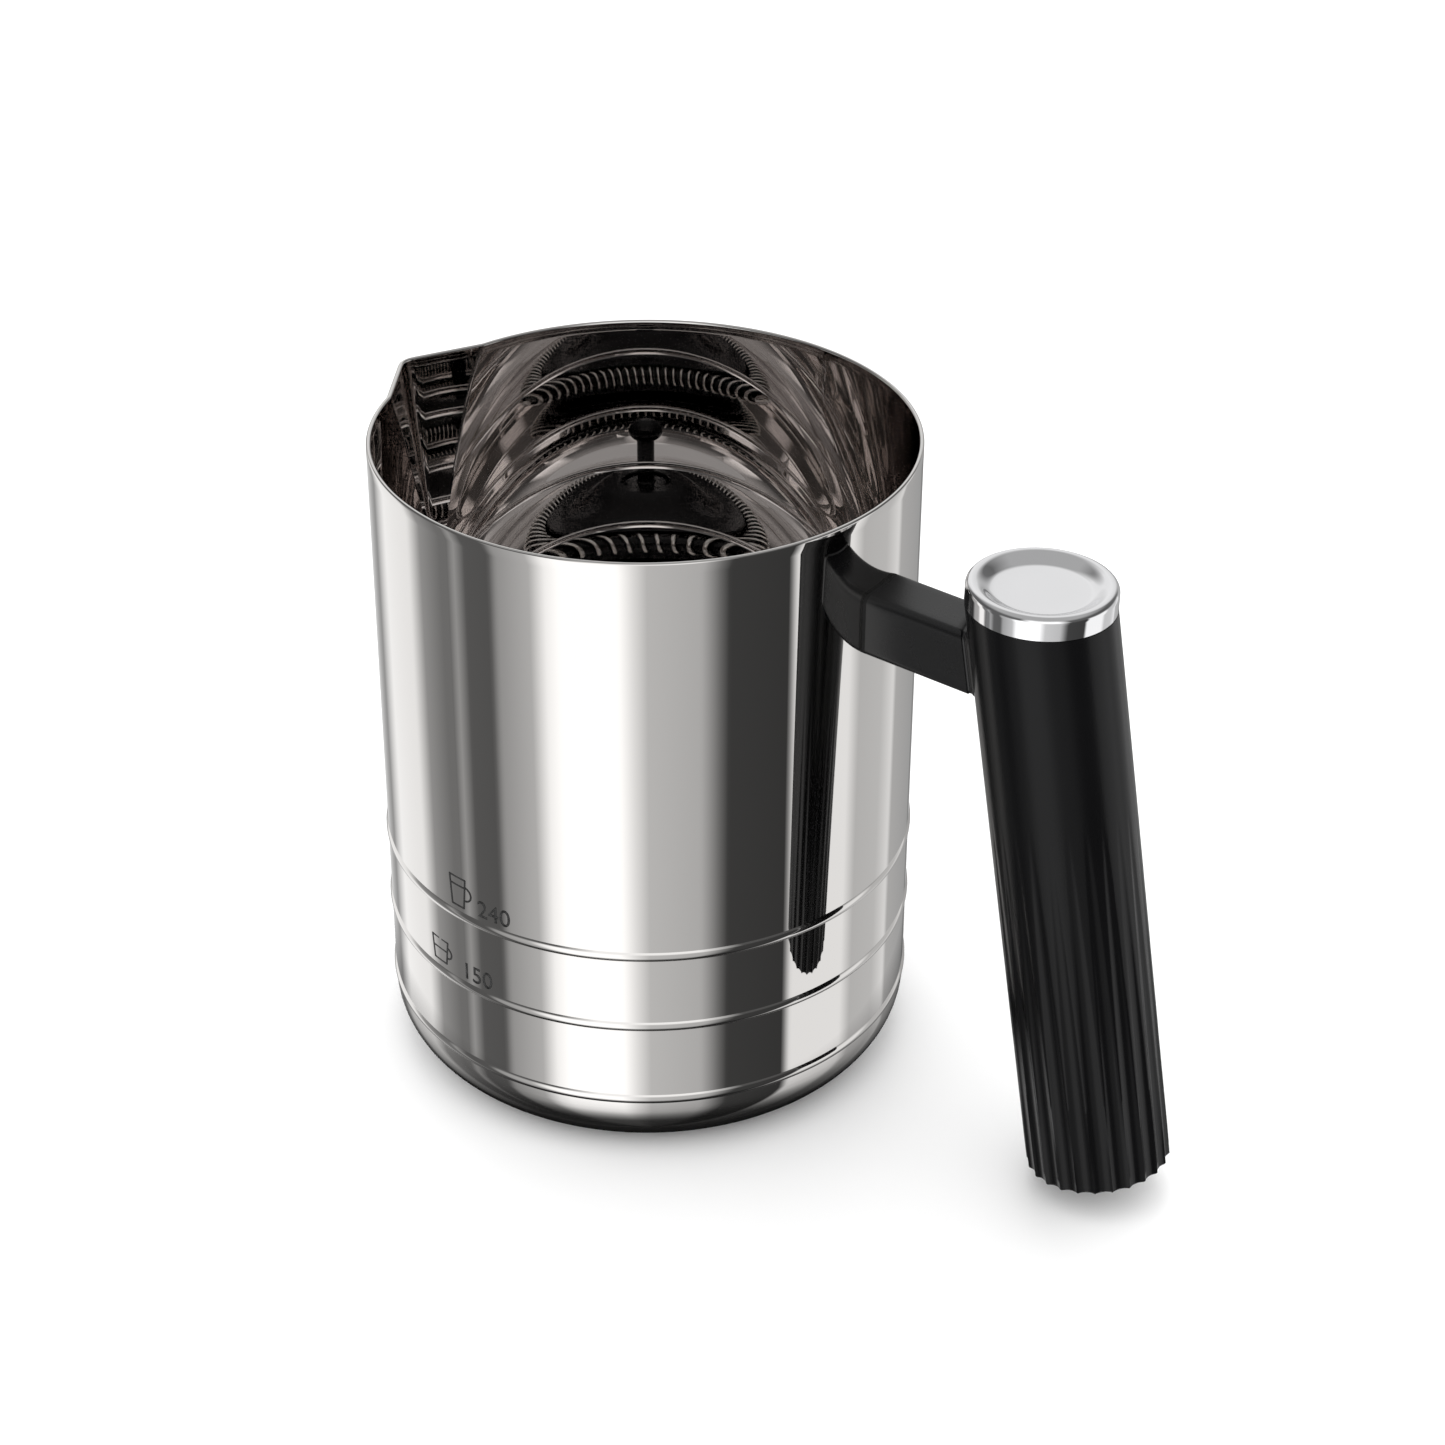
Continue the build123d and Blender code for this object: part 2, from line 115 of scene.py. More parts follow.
# ---- frames of the handle ----
def frame_matrix(origin, x_dir, z_dir):
    """Matrix from a local frame in mm to the row frame in metres."""
    x_axis = Vector(x_dir)
    z_axis = Vector(z_dir)
    y_axis = z_axis.cross(x_axis)
    matrix = Matrix((x_axis, y_axis, z_axis)).transposed().to_4x4()
    matrix.translation = Vector(origin)
    return Matrix.Scale(MM, 4) @ matrix


ROW = Matrix.Scale(MM, 4)
GRIP = frame_matrix(
    (GRIP_X, 0, GRIP_Z), (cos(GRIP_LEAN), 0, sin(GRIP_LEAN)), (-sin(GRIP_LEAN), 0, cos(GRIP_LEAN))
)
CAP = frame_matrix(
    (GRIP_X, 0, GRIP_Z), (cos(CAP_LEAN), 0, -sin(CAP_LEAN)), (sin(CAP_LEAN), 0, cos(CAP_LEAN))
)
ARM = frame_matrix((JUG_R, 0, ARM_Z), (cos(ARM_FALL), 0, -sin(ARM_FALL)), (sin(ARM_FALL), 0, cos(ARM_FALL)))


# ---- mesh helpers ----
def mesh_object(name, vertices, faces, matrix=ROW, sharp_angle=32):
    """Object from vertices in a local frame; edges that turn more than sharp_angle stay crisp."""
    mesh = bpy.data.meshes.new(name)
    mesh.from_pydata([matrix @ Vector(v) for v in vertices], [], faces)
    mesh.validate()
    piece = bpy.data.objects.new(name, mesh)
    bpy.context.scene.collection.objects.link(piece)
    mesh.polygons.foreach_set("use_smooth", [True] * len(mesh.polygons))
    mesh.set_sharp_from_angle(angle=radians(sharp_angle))
    return piece


def ring_faces(rings, size, closed_rows=False):
    """Quads that join each ring of vertices to the next one."""
    faces = []
    last = rings if closed_rows else rings - 1
    for row in range(last):
        a = row * size
        b = ((row + 1) % rings) * size
        for i in range(size):
            j = (i + 1) % size
            faces.append((a + i, a + j, b + j, b + i))
    return faces


def lathe(name, profile, matrix=ROW, steps=128, sharp_angle=32):
    """Solid of revolution about local Z. The profile runs from the axis, round the outside, to the axis."""
    inner = profile[1:-1]
    vertices = []
    for radius, height in inner:
        for i in range(steps):
            turn = 2 * pi * i / steps
            vertices.append((radius * cos(turn), radius * sin(turn), height))
    faces = ring_faces(len(inner), steps)
    for end, ring in ((profile[0], 0), (profile[-1], len(inner) - 1)):
        vertices.append((0, 0, end[1]))
        centre = len(vertices) - 1
        start = ring * steps
        for i in range(steps):
            pair = (start + (i + 1) % steps, start + i)
            faces.append((*pair, centre) if ring == 0 else (*pair[::-1], centre))
    return mesh_object(name, vertices, faces, matrix, sharp_angle)


def arc(centre_r, centre_z, radius, start, end, steps):
    """Points on an arc, angles in degrees."""
    points = []
    for i in range(steps + 1):
        turn = radians(start + (end - start) * i / steps)
        points.append((centre_r + radius * cos(turn), centre_z + radius * sin(turn)))
    return points


def ease(start, end, steps):
    """Points of an S-shaped slope between two levels."""
    points = []
    for i in range(steps + 1):
        share = i / steps
        lift = share * share * (3 - 2 * share)
        points.append((start[0] + (end[0] - start[0]) * share, start[1] + (end[1] - start[1]) * lift))
    return points


# ---- materials ----
def new_material(name, colour, metallic, roughness):
    """Principled material and its nodes, with its even values set on its own sockets."""
    material = bpy.data.materials.new(name)
    material.use_nodes = True
    tree = material.node_tree
    shader = tree.nodes["Principled BSDF"]
    shader.inputs["Base Color"].default_value = (*colour, 1)
    shader.inputs["Metallic"].default_value = metallic
    shader.inputs["Roughness"].default_value = roughness
    return material, tree, shader


def noise(tree, scale, detail=3.0, stretch=(1, 1, 1)):
    """Noise over object coordinates, stretched along the axes."""
    coordinates = tree.nodes.new("ShaderNodeTexCoord")
    mapping = tree.nodes.new("ShaderNodeMapping")
    mapping.inputs["Scale"].default_value = stretch
    texture = tree.nodes.new("ShaderNodeTexNoise")
    texture.inputs["Scale"].default_value = scale
    texture.inputs["Detail"].default_value = detail
    tree.links.new(coordinates.outputs["Object"], mapping.inputs["Vector"])
    tree.links.new(mapping.outputs["Vector"], texture.inputs["Vector"])
    return texture.outputs["Fac"]


def ramp(tree, source, low, high, to_min, to_max):
    """Value remapped from one range to another."""
    node = tree.nodes.new("ShaderNodeMapRange")
    node.inputs["From Min"].default_value = low
    node.inputs["From Max"].default_value = high
    node.inputs["To Min"].default_value = to_min
    node.inputs["To Max"].default_value = to_max
    tree.links.new(source, node.inputs["Value"])
    return node.outputs["Result"]


def tint(tree, shader, source, dark, light):
    """Base colour that drifts between two close tones."""
    mix = tree.nodes.new("ShaderNodeMix")
    mix.data_type = "RGBA"
    mix.inputs["A"].default_value = (*dark, 1)
    mix.inputs["B"].default_value = (*light, 1)
    tree.links.new(source, mix.inputs["Factor"])
    tree.links.new(mix.outputs["Result"], shader.inputs["Base Color"])


def bump(tree, shader, source, strength, distance):
    node = tree.nodes.new("ShaderNodeBump")
    node.inputs["Strength"].default_value = strength
    node.inputs["Distance"].default_value = distance
    tree.links.new(source, node.inputs["Height"])
    tree.links.new(node.outputs["Normal"], shader.inputs["Normal"])


def polished_steel(name, dark, light, haze_low, haze_high):
    """Mirror-polished stainless steel with faint polishing haze."""
    material, tree, shader = new_material(name, light, 1.0, haze_low)
    haze = noise(tree, 60, 4, (1, 1, 6))
    tree.links.new(ramp(tree, haze, 0.3, 0.8, haze_low, haze_high), shader.inputs["Roughness"])
    tint(tree, shader, noise(tree, 9, 2), dark, light)
    bump(tree, shader, noise(tree, 40, 2), 0.006, 0.0004)
    return material


def turned_steel(name, colour, roughness):
    """Steel with fine turning marks."""
    material, tree, shader = new_material(name, colour, 1.0, roughness)
    marks = noise(tree, 900, 2, (1, 1, 0.05))
    tree.links.new(ramp(tree, marks, 0.3, 0.7, roughness * 0.8, roughness * 1.3), shader.inputs["Roughness"])
    light = tuple(min(1, c * 1.08) for c in colour)
    tint(tree, shader, noise(tree, 25, 2), colour, light)
    bump(tree, shader, marks, 0.15, 0.0001)
    return material


def cap_chrome():
    material, tree, shader = new_material("cap_chrome", (0.82, 0.82, 0.83), 1.0, 0.03)
    haze = noise(tree, 120, 3)
    tree.links.new(ramp(tree, haze, 0.3, 0.8, 0.02, 0.045), shader.inputs["Roughness"])
    tint(tree, shader, noise(tree, 15, 2), (0.80, 0.80, 0.81), (0.85, 0.85, 0.86))
    return material


def moulded_black(name, colour, roughness, shine=0.22):
    """Black moulded plastic: fine spark-eroded grain and slightly uneven sheen."""
    material, tree, shader = new_material(name, colour, 0.0, roughness)
    shader.inputs["Specular IOR Level"].default_value = shine
    sheen = noise(tree, 70, 3)
    tree.links.new(ramp(tree, sheen, 0.3, 0.7, roughness * 0.9, roughness * 1.12), shader.inputs["Roughness"])
    light = tuple(c * 1.4 + 0.0005 for c in colour)
    tint(tree, shader, noise(tree, 30, 3), colour, light)
    bump(tree, shader, noise(tree, 2600, 2), 0.25, 0.00004)
    return material


def seal_rubber():
    material, tree, shader = new_material("seal_rubber", (0.008, 0.008, 0.008), 0.0, 0.6)
    shader.inputs["Specular IOR Level"].default_value = 0.2
    tint(tree, shader, noise(tree, 200, 3), (0.006, 0.006, 0.006), (0.012, 0.012, 0.012))
    bump(tree, shader, noise(tree, 1500, 3), 0.3, 0.00005)
    return material


def printed_ink():
    """Black pad-printed ink with slightly uneven cover."""
    material, tree, shader = new_material("printed_ink", (0.01, 0.01, 0.01), 0.0, 0.45)
    tint(tree, shader, noise(tree, 900, 3), (0.006, 0.006, 0.006), (0.02, 0.02, 0.02))
    return material


MATERIALS = {
    "polished_steel": polished_steel(
        "polished_steel", (0.64, 0.625, 0.61), (0.68, 0.665, 0.65), 0.012, 0.03
    ),
    "base_steel": turned_steel("base_steel", (0.50, 0.49, 0.48), 0.32),
    "cap_chrome": cap_chrome(),
    "black_plastic": moulded_black("black_plastic", (0.003, 0.003, 0.0033), 0.28, 0.45),
    "grip_plastic": moulded_black("grip_plastic", (0.0025, 0.0025, 0.0028), 0.22, 0.15),
    "inner_plastic": moulded_black("inner_plastic", (0.03, 0.03, 0.033), 0.55),
    "bush_plastic": moulded_black("bush_plastic", (0.62, 0.60, 0.55), 0.4),
    "whisk_plastic": moulded_black("whisk_plastic", (0.004, 0.004, 0.0044), 0.2),
    "seal_rubber": seal_rubber(),
    "fastener_steel": turned_steel("fastener_steel", (0.55, 0.54, 0.53), 0.25),
    "magnet_metal": turned_steel("magnet_metal", (0.60, 0.59, 0.56), 0.18),
    "coil_steel": turned_steel("coil_steel", (0.66, 0.65, 0.63), 0.12),
}
INK = printed_ink()
# Painted light: the inside is the same steel as the outside, given a lighter colour so that the inside reads
# brighter.
LIT_INSIDE_STEEL = polished_steel("inside_steel_painted_light", (0.77, 0.75, 0.74), (0.82, 0.80, 0.79), 0.006, 0.014)


def dress(piece, slot, body, *replaced):
    """Gives a new piece its material, body and the CAD nodes it stands for."""
    piece.data.materials.append(MATERIALS[slot])
    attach(piece, body)
    if replaced:
        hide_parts(*replaced)
    return piece


def dress_cad_nodes():
    for entry in frame["record"]["subparts"]:
        slots = nodes[entry["node"]].data.materials
        slots.clear()
        slots.append(MATERIALS[entry["material_slot"]])


# ---- jug ----
SPOUT_COLUMNS = 30
REST_COLUMNS = 300
LEAST_KINK = radians(1.5)
KINK_EDGE = radians(0.35)
LIP_STEPS = 8


def spout_share(height):
    """How far up the spout a height is, from 0 at its foot to 1 at the rim."""
    return (height - (RIM_Z - SPOUT_DEPTH)) / SPOUT_DEPTH


def spout_radius(turn, height, inset):
    """Radius of the spout's face at an angle from its middle."""
    share = spout_share(height)
    start = JUG_R - inset / sin(SPOUT_HALF_ANGLE)
    if share <= 0:
        return 0.0
    tip = start + share * (SPOUT_TIP_R - JUG_R)
    nose = share * (SPOUT_ROUND - inset)
    centre = tip - nose / sin(SPOUT_HALF_ANGLE)
    edge = atan2(nose * cos(SPOUT_HALF_ANGLE), centre + nose * sin(SPOUT_HALF_ANGLE))
    if abs(turn) < edge:
        return centre * cos(turn) + sqrt(nose**2 - (centre * sin(turn)) ** 2)
    return tip * sin(SPOUT_HALF_ANGLE) / sin(SPOUT_HALF_ANGLE + abs(turn))


def spout_kink(height, radius, inset):
    """Angle from the spout's middle at which it runs into the round wall."""
    share = spout_share(height)
    if share <= 0:
        return LEAST_KINK
    tip = JUG_R - inset / sin(SPOUT_HALF_ANGLE) + share * (SPOUT_TIP_R - JUG_R)
    reach = tip * sin(SPOUT_HALF_ANGLE) / radius
    return max(LEAST_KINK, asin(min(1.0, reach)) - SPOUT_HALF_ANGLE)


def wall_ring(height, radius, inset):
    """One ring of the wall in the row frame, the spout towards -X."""
    kink = spout_kink(height, radius, inset)
    half = SPOUT_COLUMNS // 2
    turns = [kink * i / half for i in range(-half, half)]
    turns += [kink, kink + KINK_EDGE]
    start = kink + KINK_EDGE
    span = 2 * pi - 2 * start
    turns += [start + span * i / REST_COLUMNS for i in range(1, REST_COLUMNS + 1)]
    points = []
    for turn in turns:
        bare = turn if turn <= pi else turn - 2 * pi
        reach = max(radius, spout_radius(bare, height, inset)) if abs(bare) <= kink else radius
        points.append((-reach * cos(turn), -reach * sin(turn), height))
    return points


def wall_heights(radius, corner, low):
    """Rows of the wall as (radius, height), from the foot up to just under the rim."""
    rows = [(JUG_R - CORNER_R, low)]
    for r, z in arc(JUG_R - CORNER_R, CORNER_R, corner, -85, 0, 17):
        rows.append((r, z))
    height = CORNER_R
    for bead in BEAD_HEIGHTS:
        swell = (BEAD_HALF**2 + BEAD_RAISE**2) / (2 * BEAD_RAISE)
        centre = radius + BEAD_RAISE - swell
        spread = degrees(asin(BEAD_HALF / swell))
        rows += spaced(radius, height, bead - BEAD_HALF - 0.05, 4.0)
        rows += arc(centre, bead, swell, -spread, spread, 8)
        height = bead + BEAD_HALF
    rows += spaced(radius, height + 0.05, RIM_Z - WALL / 2, 1.6)
    return rows


def spaced(radius, low, high, step):
    """Rows up a straight stretch, no further apart than step."""
    count = max(1, ceil((high - low) / step))
    return [(radius, low + (high - low) * i / count) for i in range(1 if low == CORNER_R else 0, count + 1)]


def lip_rings(outer, inner):
    """Half-round edge between the top rings of the outside and the inside."""
    rings = []
    for i in range(1, LIP_STEPS):
        turn = pi * i / LIP_STEPS
        ring = []
        for a, b in zip(outer, inner):
            middle = [(p + q) / 2 for p, q in zip(a, b)]
            reach = [(p - q) / 2 * cos(turn) for p, q in zip(a, b)]
            ring.append((middle[0] + reach[0], middle[1] + reach[1], a[2] + WALL / 2 * sin(turn)))
        rings.append(ring)
    return rings


def jug_shell():
    """One closed shell: underside, outside, lip, inside and floor."""
    recess_r = DISC_R + DISC_GAP
    under = [(2.0, DISC_T), (recess_r - 0.05, DISC_T), (recess_r, DISC_T - 0.05), (recess_r, 0.0)]
    floor_z = DISC_T + WALL
    floor = [(recess_r + WALL + 0.5, WALL), (recess_r + WALL + 0.05, WALL + 0.2)]
    floor += [(recess_r + WALL - 0.05, floor_z - 0.2), (recess_r + WALL - 0.5, floor_z), (2.0, floor_z)]
    outside = wall_heights(JUG_R, CORNER_R, 0.0)
    inside = wall_heights(JUG_R - WALL, CORNER_R - WALL, WALL)
    rings = [wall_ring(z, r, 0.0) for r, z in under + outside]
    inner_rings = [wall_ring(z, r, WALL) for r, z in reversed(inside)]
    rings += lip_rings(rings[-1], inner_rings[0])
    rings += inner_rings
    rings += [wall_ring(z, r, WALL) for r, z in floor]
    size = len(rings[0])
    vertices = [point for ring in rings for point in ring]
    faces = ring_faces(len(rings), size)
    for ring, z in ((0, DISC_T), (len(rings) - 1, floor_z)):
        vertices.append((0, 0, z))
        start = ring * size
        for i in range(size):
            pair = (start + (i + 1) % size, start + i)
            faces.append((*pair, len(vertices) - 1) if ring == 0 else (*pair[::-1], len(vertices) - 1))
    shell = mesh_object("jug_shell", vertices, faces, sharp_angle=24)
    dress(shell, "polished_steel", "jug", "jug_body")
    # Inside faces get the lighter steel: painted light on the inside.
    shell.data.materials.append(LIT_INSIDE_STEEL)
    first_inside = (len(under) + len(outside) + LIP_STEPS) * size
    for polygon in shell.data.polygons:
        if min(polygon.vertices) >= first_inside:
            polygon.material_index = 1
    return shell


# ---- arm ----
def arm_outline(grow=0.0):
    """Rounded rectangle across the arm, as (side, height) pairs."""
    points = []
    corner = ARM_ROUND + grow
    for quarter in range(4):
        side = 1 if quarter in (0, 3) else -1
        up = 1 if quarter in (0, 1) else -1
        centre = (side * (ARM_HALF_W - ARM_ROUND), up * (ARM_HALF_H - ARM_ROUND))
        for i in range(11):
            turn = radians(90 * quarter + 9 * i)
            points.append((centre[0] + corner * cos(turn), centre[1] + corner * sin(turn)))
    return subdivided(points, 1.2)


def subdivided(points, step):
    """Closed outline with its long runs cut into short ones."""
    cut = []
    for (ax, ay), (bx, by) in zip(points, points[1:] + points[:1]):
        count = max(1, ceil(hypot(bx - ax, by - ay) / step))
        cut += [(ax + (bx - ax) * i / count, ay + (by - ay) * i / count) for i in range(count)]
    return cut


def wall_start(side, up, gap):
    """Distance along the arm at which it meets the jug's wall."""
    reach = sqrt((JUG_R + gap) ** 2 - side**2)
    return (reach - JUG_R - up * sin(ARM_FALL)) / cos(ARM_FALL)


def grip_start(side, up, gap):
    """Distance along the arm at which it meets the grip, less a gap."""
    radius = GRIP_R_TOP + gap
    lean = GRIP_LEAN + ARM_FALL
    axis_x = (GRIP_X - JUG_R) * cos(ARM_FALL) + (ARM_Z - GRIP_Z) * sin(ARM_FALL)
    axis_z = (GRIP_X - JUG_R) * sin(ARM_FALL) + (GRIP_Z - ARM_Z) * cos(ARM_FALL)
    return axis_x + (axis_z - up) * sin(lean) / cos(lean) - sqrt(radius**2 - side**2) / cos(lean)


def handle_arm():
    """Straight rounded bar from the gasket into the grip, with a shadow groove beside the grip."""
    groove = ((2.2, 0.0), (1.25, 0.0), (1.1, -0.14), (0.95, -0.22), (0.6, -0.22), (0.45, -0.1), (0.35, 0.0))
    rows = []
    plain = arm_outline()
    rows.append([(wall_start(s, u, GASKET_T), s, u) for s, u in plain])
    rows.append([(wall_start(s, u, GASKET_T) + 0.3, s, u) for s, u in plain])
    for share in (0.2, 0.4, 0.6, 0.8):
        row = []
        for s, u in plain:
            start = wall_start(s, u, GASKET_T) + 0.3
            end = grip_start(s, u, groove[0][0])
            row.append((start + (end - start) * share, s, u))
        rows.append(row)
    for gap, grow in groove:
        rows.append([(grip_start(s, u, gap), s, u) for s, u in arm_outline(grow)])
    rows.append([(grip_start(s, u, -1.2), s, u) for s, u in arm_outline()])
    size = len(plain)
    vertices = [(x, s, u) for row in rows for x, s, u in row]
    faces = ring_faces(len(rows), size)
    faces.append(tuple(range(size)))
    faces.append(tuple(reversed(range((len(rows) - 1) * size, len(rows) * size))))
    arm = mesh_object("arm_shell", vertices, faces, ARM, sharp_angle=40)
    return dress(arm, "black_plastic", "jug", "handle_arm")


# ---- grip ----
COLUMNS_PER_FLUTE = 12
SLEEVE_ROWS = 110


def sleeve_radius(turn, depth):
    """Radius of the fluted sleeve at an angle round it and a depth below its top."""
    plain = GRIP_R_TOP + (GRIP_R_BOTTOM - GRIP_R_TOP) * depth / GRIP_LENGTH
    pitch = 2 * pi / FLUTES
    from_valley = ((turn + pitch / 2) % pitch) - pitch / 2
    low = GRIP_R_BOTTOM * cos(pitch / 2) + FLUTE_CUTTER_R - FLUTE_DEPTH
    high = GRIP_R_TOP + FLUTE_CUTTER_R + 0.1
    share = (GRIP_LENGTH - depth) / (GRIP_LENGTH - FLUTE_START)
    centre = low + (high - low) * share
    side = centre * sin(from_valley)
    if abs(side) >= FLUTE_CUTTER_R:
        return plain
    return min(plain, centre * cos(from_valley) - sqrt(FLUTE_CUTTER_R**2 - side**2))


def cap_plane_height(x):
    """Height in the grip's frame of the plane that the cap sits on."""
    return x * sin(-GRIP_LEAN - CAP_LEAN) / cos(GRIP_LEAN + CAP_LEAN)


def grip_sleeve():
    """Sleeve with flutes that deepen downwards, a small chamfer at the lower end, and its bore."""
    count = FLUTES * COLUMNS_PER_FLUTE
    turns = [2 * pi * i / count for i in range(count)]
    rows = []
    chamfer = 0.35
    for step in range(SLEEVE_ROWS + 1):
        share = step / SLEEVE_ROWS
        row = []
        for turn in turns:
            top = cap_plane_height(GRIP_R_TOP * cos(turn))
            z = top + (chamfer - GRIP_LENGTH - top) * share
            radius = sleeve_radius(turn, -z)
            row.append((radius * cos(turn), radius * sin(turn), z))
        rows.append(row)
    foot = [(sleeve_radius(turn, GRIP_LENGTH) - chamfer) for turn in turns]
    rows.append([(r * cos(t), r * sin(t), -GRIP_LENGTH) for r, t in zip(foot, turns)])
    for radius, z in ((SLEEVE_BORE_R + 0.2, -GRIP_LENGTH), (SLEEVE_BORE_R, 0.2 - GRIP_LENGTH)):
        rows.append([(radius * cos(t), radius * sin(t), z) for t in turns])
    rows.append([(SLEEVE_BORE_R * cos(t), SLEEVE_BORE_R * sin(t), -6.0) for t in turns])
    rim = [cap_plane_height(SLEEVE_BORE_R * cos(t)) for t in turns]
    rows.append([(SLEEVE_BORE_R * cos(t), SLEEVE_BORE_R * sin(t), z) for t, z in zip(turns, rim)])
    vertices = [point for row in rows for point in row]
    faces = [face[::-1] for face in ring_faces(len(rows), count, closed_rows=True)]
    sleeve = mesh_object("fluted_sleeve", vertices, faces, GRIP, sharp_angle=34)
    return dress(sleeve, "grip_plastic", "jug", "grip_sleeve")


def end_cap():
    """Chrome shell: upright band, rounded raised rim, sloping dish and a flat middle."""
    dish_z = CAP_RIM_TOP - CAP_DISH_DEPTH
    profile = [(0, 0.3), (CAP_R - CAP_SHELL_T, 0.3), (CAP_R - 0.9, 0.0), (CAP_R - 0.15, 0.0), (CAP_R, 0.15)]
    profile += arc(CAP_R - CAP_EDGE, CAP_RIM_TOP - CAP_EDGE, CAP_EDGE, 0, 90, 12)
    profile += ease((CAP_RIM_R, CAP_RIM_TOP), (CAP_DISH_R, dish_z), 14)
    profile += [(CAP_DISH_R - 0.2, dish_z - 0.02), (CAP_DISH_R / 2, dish_z - 0.03), (0, dish_z - 0.03)]
    cap = lathe("chrome_cap", profile, CAP, 160, 28)
    return dress(cap, "cap_chrome", "jug", "end_cap")


# ---- whisk ----
def whisk_hub():
    """Hub: groove for the coil, sloping shoulder, and a flat top sunk round the knob's collar."""
    low = HUB_LOW + COVER_T
    top = COIL_Z + HUB_RIM_OVER_COIL
    seat = DOME_TOP - DOME_SINK
    groove = []
    for r, z in arc(COIL_RING_R, COIL_Z, COIL_R + 0.05, 306, 54, 36):
        if r <= HUB_R:
            groove.append((r, z))
    profile = [(0, low), (HUB_R - 0.3, low), (HUB_R, low + 0.3)] + groove
    profile += [(HUB_R, top - 0.3), (HUB_R - 0.3, top), (DOME_R + 0.2, top)]
    profile += ease((DOME_R, top), (DOME_FLAT_R, DOME_TOP), 20)
    profile += [(DOME_SINK_R + 0.2, DOME_TOP), (DOME_SINK_R, DOME_TOP - 0.2), (DOME_SINK_R, seat), (0, seat)]
    hub = lathe("hub_dome", profile, steps=128)
    return dress(hub, "whisk_plastic", "whisk", "whisk_hub")


def whisk_knob():
    """Ball on a thin stem, with a collar that seats in the hub."""
    seat = DOME_TOP - DOME_SINK
    collar_top = seat + KNOB_COLLAR_T
    ball_z = KNOB_TOP - KNOB_R
    neck = degrees(acos(KNOB_STEM_R / KNOB_R))
    profile = [(0, seat), (KNOB_COLLAR_R, seat), (KNOB_COLLAR_R, collar_top - 0.15)]
    profile += [(KNOB_COLLAR_R - 0.15, collar_top), (KNOB_STEM_R + 0.3, collar_top)]
    profile += [(KNOB_STEM_R, collar_top + 0.3), (KNOB_STEM_R, ball_z - 2.7)]
    profile += arc(0, ball_z, KNOB_R, -neck, 90, 24)
    knob = lathe("lift_knob", profile, steps=96)
    return dress(knob, "whisk_plastic", "whisk", "whisk_knob")


def whisk_coil():
    """Closed garter spring: wire wound round a ring."""
    per_turn = 28
    sides = 10
    count = COIL_TURNS * per_turn
    reach = COIL_R - WIRE_R

    def centre(index):
        around = 2 * pi * index / count
        wind = 2 * pi * index / per_turn
        radius = COIL_RING_R + reach * cos(wind)
        return Vector((radius * cos(around), radius * sin(around), COIL_Z + reach * sin(wind)))

    vertices = []
    for index in range(count):
        here = centre(index)
        along = (centre(index + 1) - centre(index - 1)).normalized()
        around = 2 * pi * index / count
        hub_line = Vector((COIL_RING_R * cos(around), COIL_RING_R * sin(around), COIL_Z))
        out = here - hub_line
        out = (out - along * out.dot(along)).normalized()
        across = along.cross(out)
        for side in range(sides):
            turn = 2 * pi * side / sides
            vertices.append(here + out * WIRE_R * cos(turn) + across * WIRE_R * sin(turn))
    faces = ring_faces(count, sides, closed_rows=True)
    coil = mesh_object("spring_ring", vertices, faces, sharp_angle=60)
    return dress(coil, "coil_steel", "whisk", "whisk_coil")


def coil_core():
    """Black ring inside the spring that keeps its turns round."""
    around, sides = 160, 20
    radius = COIL_R - 2 * WIRE_R - CORE_GAP
    vertices = []
    for i in range(around):
        turn = 2 * pi * i / around
        for j in range(sides):
            wind = 2 * pi * j / sides
            reach = COIL_RING_R + radius * cos(wind)
            vertices.append((reach * cos(turn), reach * sin(turn), COIL_Z + radius * sin(wind)))
    core = mesh_object("spring_core", vertices, ring_faces(around, sides, closed_rows=True))
    return dress(core, "whisk_plastic", "whisk")


# ---- printed marks: a mug outline and a volume beside each fill line ----
MARK_LIFT = 0.02
MARK_THICK = 0.03
STROKE = 0.32
CAMERA_TURN = 35.0


def on_wall(across, up, lift):
    """Point on the wall from a distance round it and a height, lifted off the steel."""
    turn = across / JUG_R
    radius = JUG_R + lift
    return (radius * cos(turn), radius * sin(turn), up)


def stroke_mark(name, lines, centre_turn, low):
    """Printed lines of even width, laid on the wall."""
    vertices = []
    faces = []
    for line in lines:
        for (ax, ay), (bx, by) in zip(line, line[1:]):
            length = hypot(bx - ax, by - ay)
            nx, ny = -(by - ay) / length * STROKE / 2, (bx - ax) / length * STROKE / 2
            ex, ey = (bx - ax) / length * STROKE / 4, (by - ay) / length * STROKE / 4
            corners = (
                (ax - ex + nx, ay - ey + ny),
                (ax - ex - nx, ay - ey - ny),
                (bx + ex - nx, by + ey - ny),
                (bx + ex + nx, by + ey + ny),
            )
            base = len(vertices)
            for lift in (MARK_LIFT, MARK_LIFT + MARK_THICK):
                for x, y in corners:
                    vertices.append(on_wall(x + JUG_R * radians(centre_turn), low + y, lift))
            faces.append((base + 4, base + 5, base + 6, base + 7))
            faces.append((base + 3, base + 2, base + 1, base))
            for i in range(4):
                j = (i + 1) % 4
                faces.append((base + i, base + j, base + 4 + j, base + 4 + i))
    piece = mesh_object(name, vertices, faces)
    piece.data.materials.append(INK)
    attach(piece, "jug")
    return piece


def mug_lines(width, high, fill):
    """Outline of a mug with a side handle, and a line for its fill."""
    half = width / 2
    taper = 0.12 * width
    body = [(-half, high), (-half + taper, 0.0), (half - taper, 0.0), (half, high), (-half, high)]
    level = [(-half + taper * (1 - fill), high * fill), (half - taper * (1 - fill), high * fill)]
    handle = []
    for i in range(9):
        turn = radians(80 - 160 * i / 8)
        handle.append((half - taper / 2 + 1.3 * cos(turn) * high / 5, high * (0.52 + 0.24 * sin(turn))))
    return [body, level, handle]


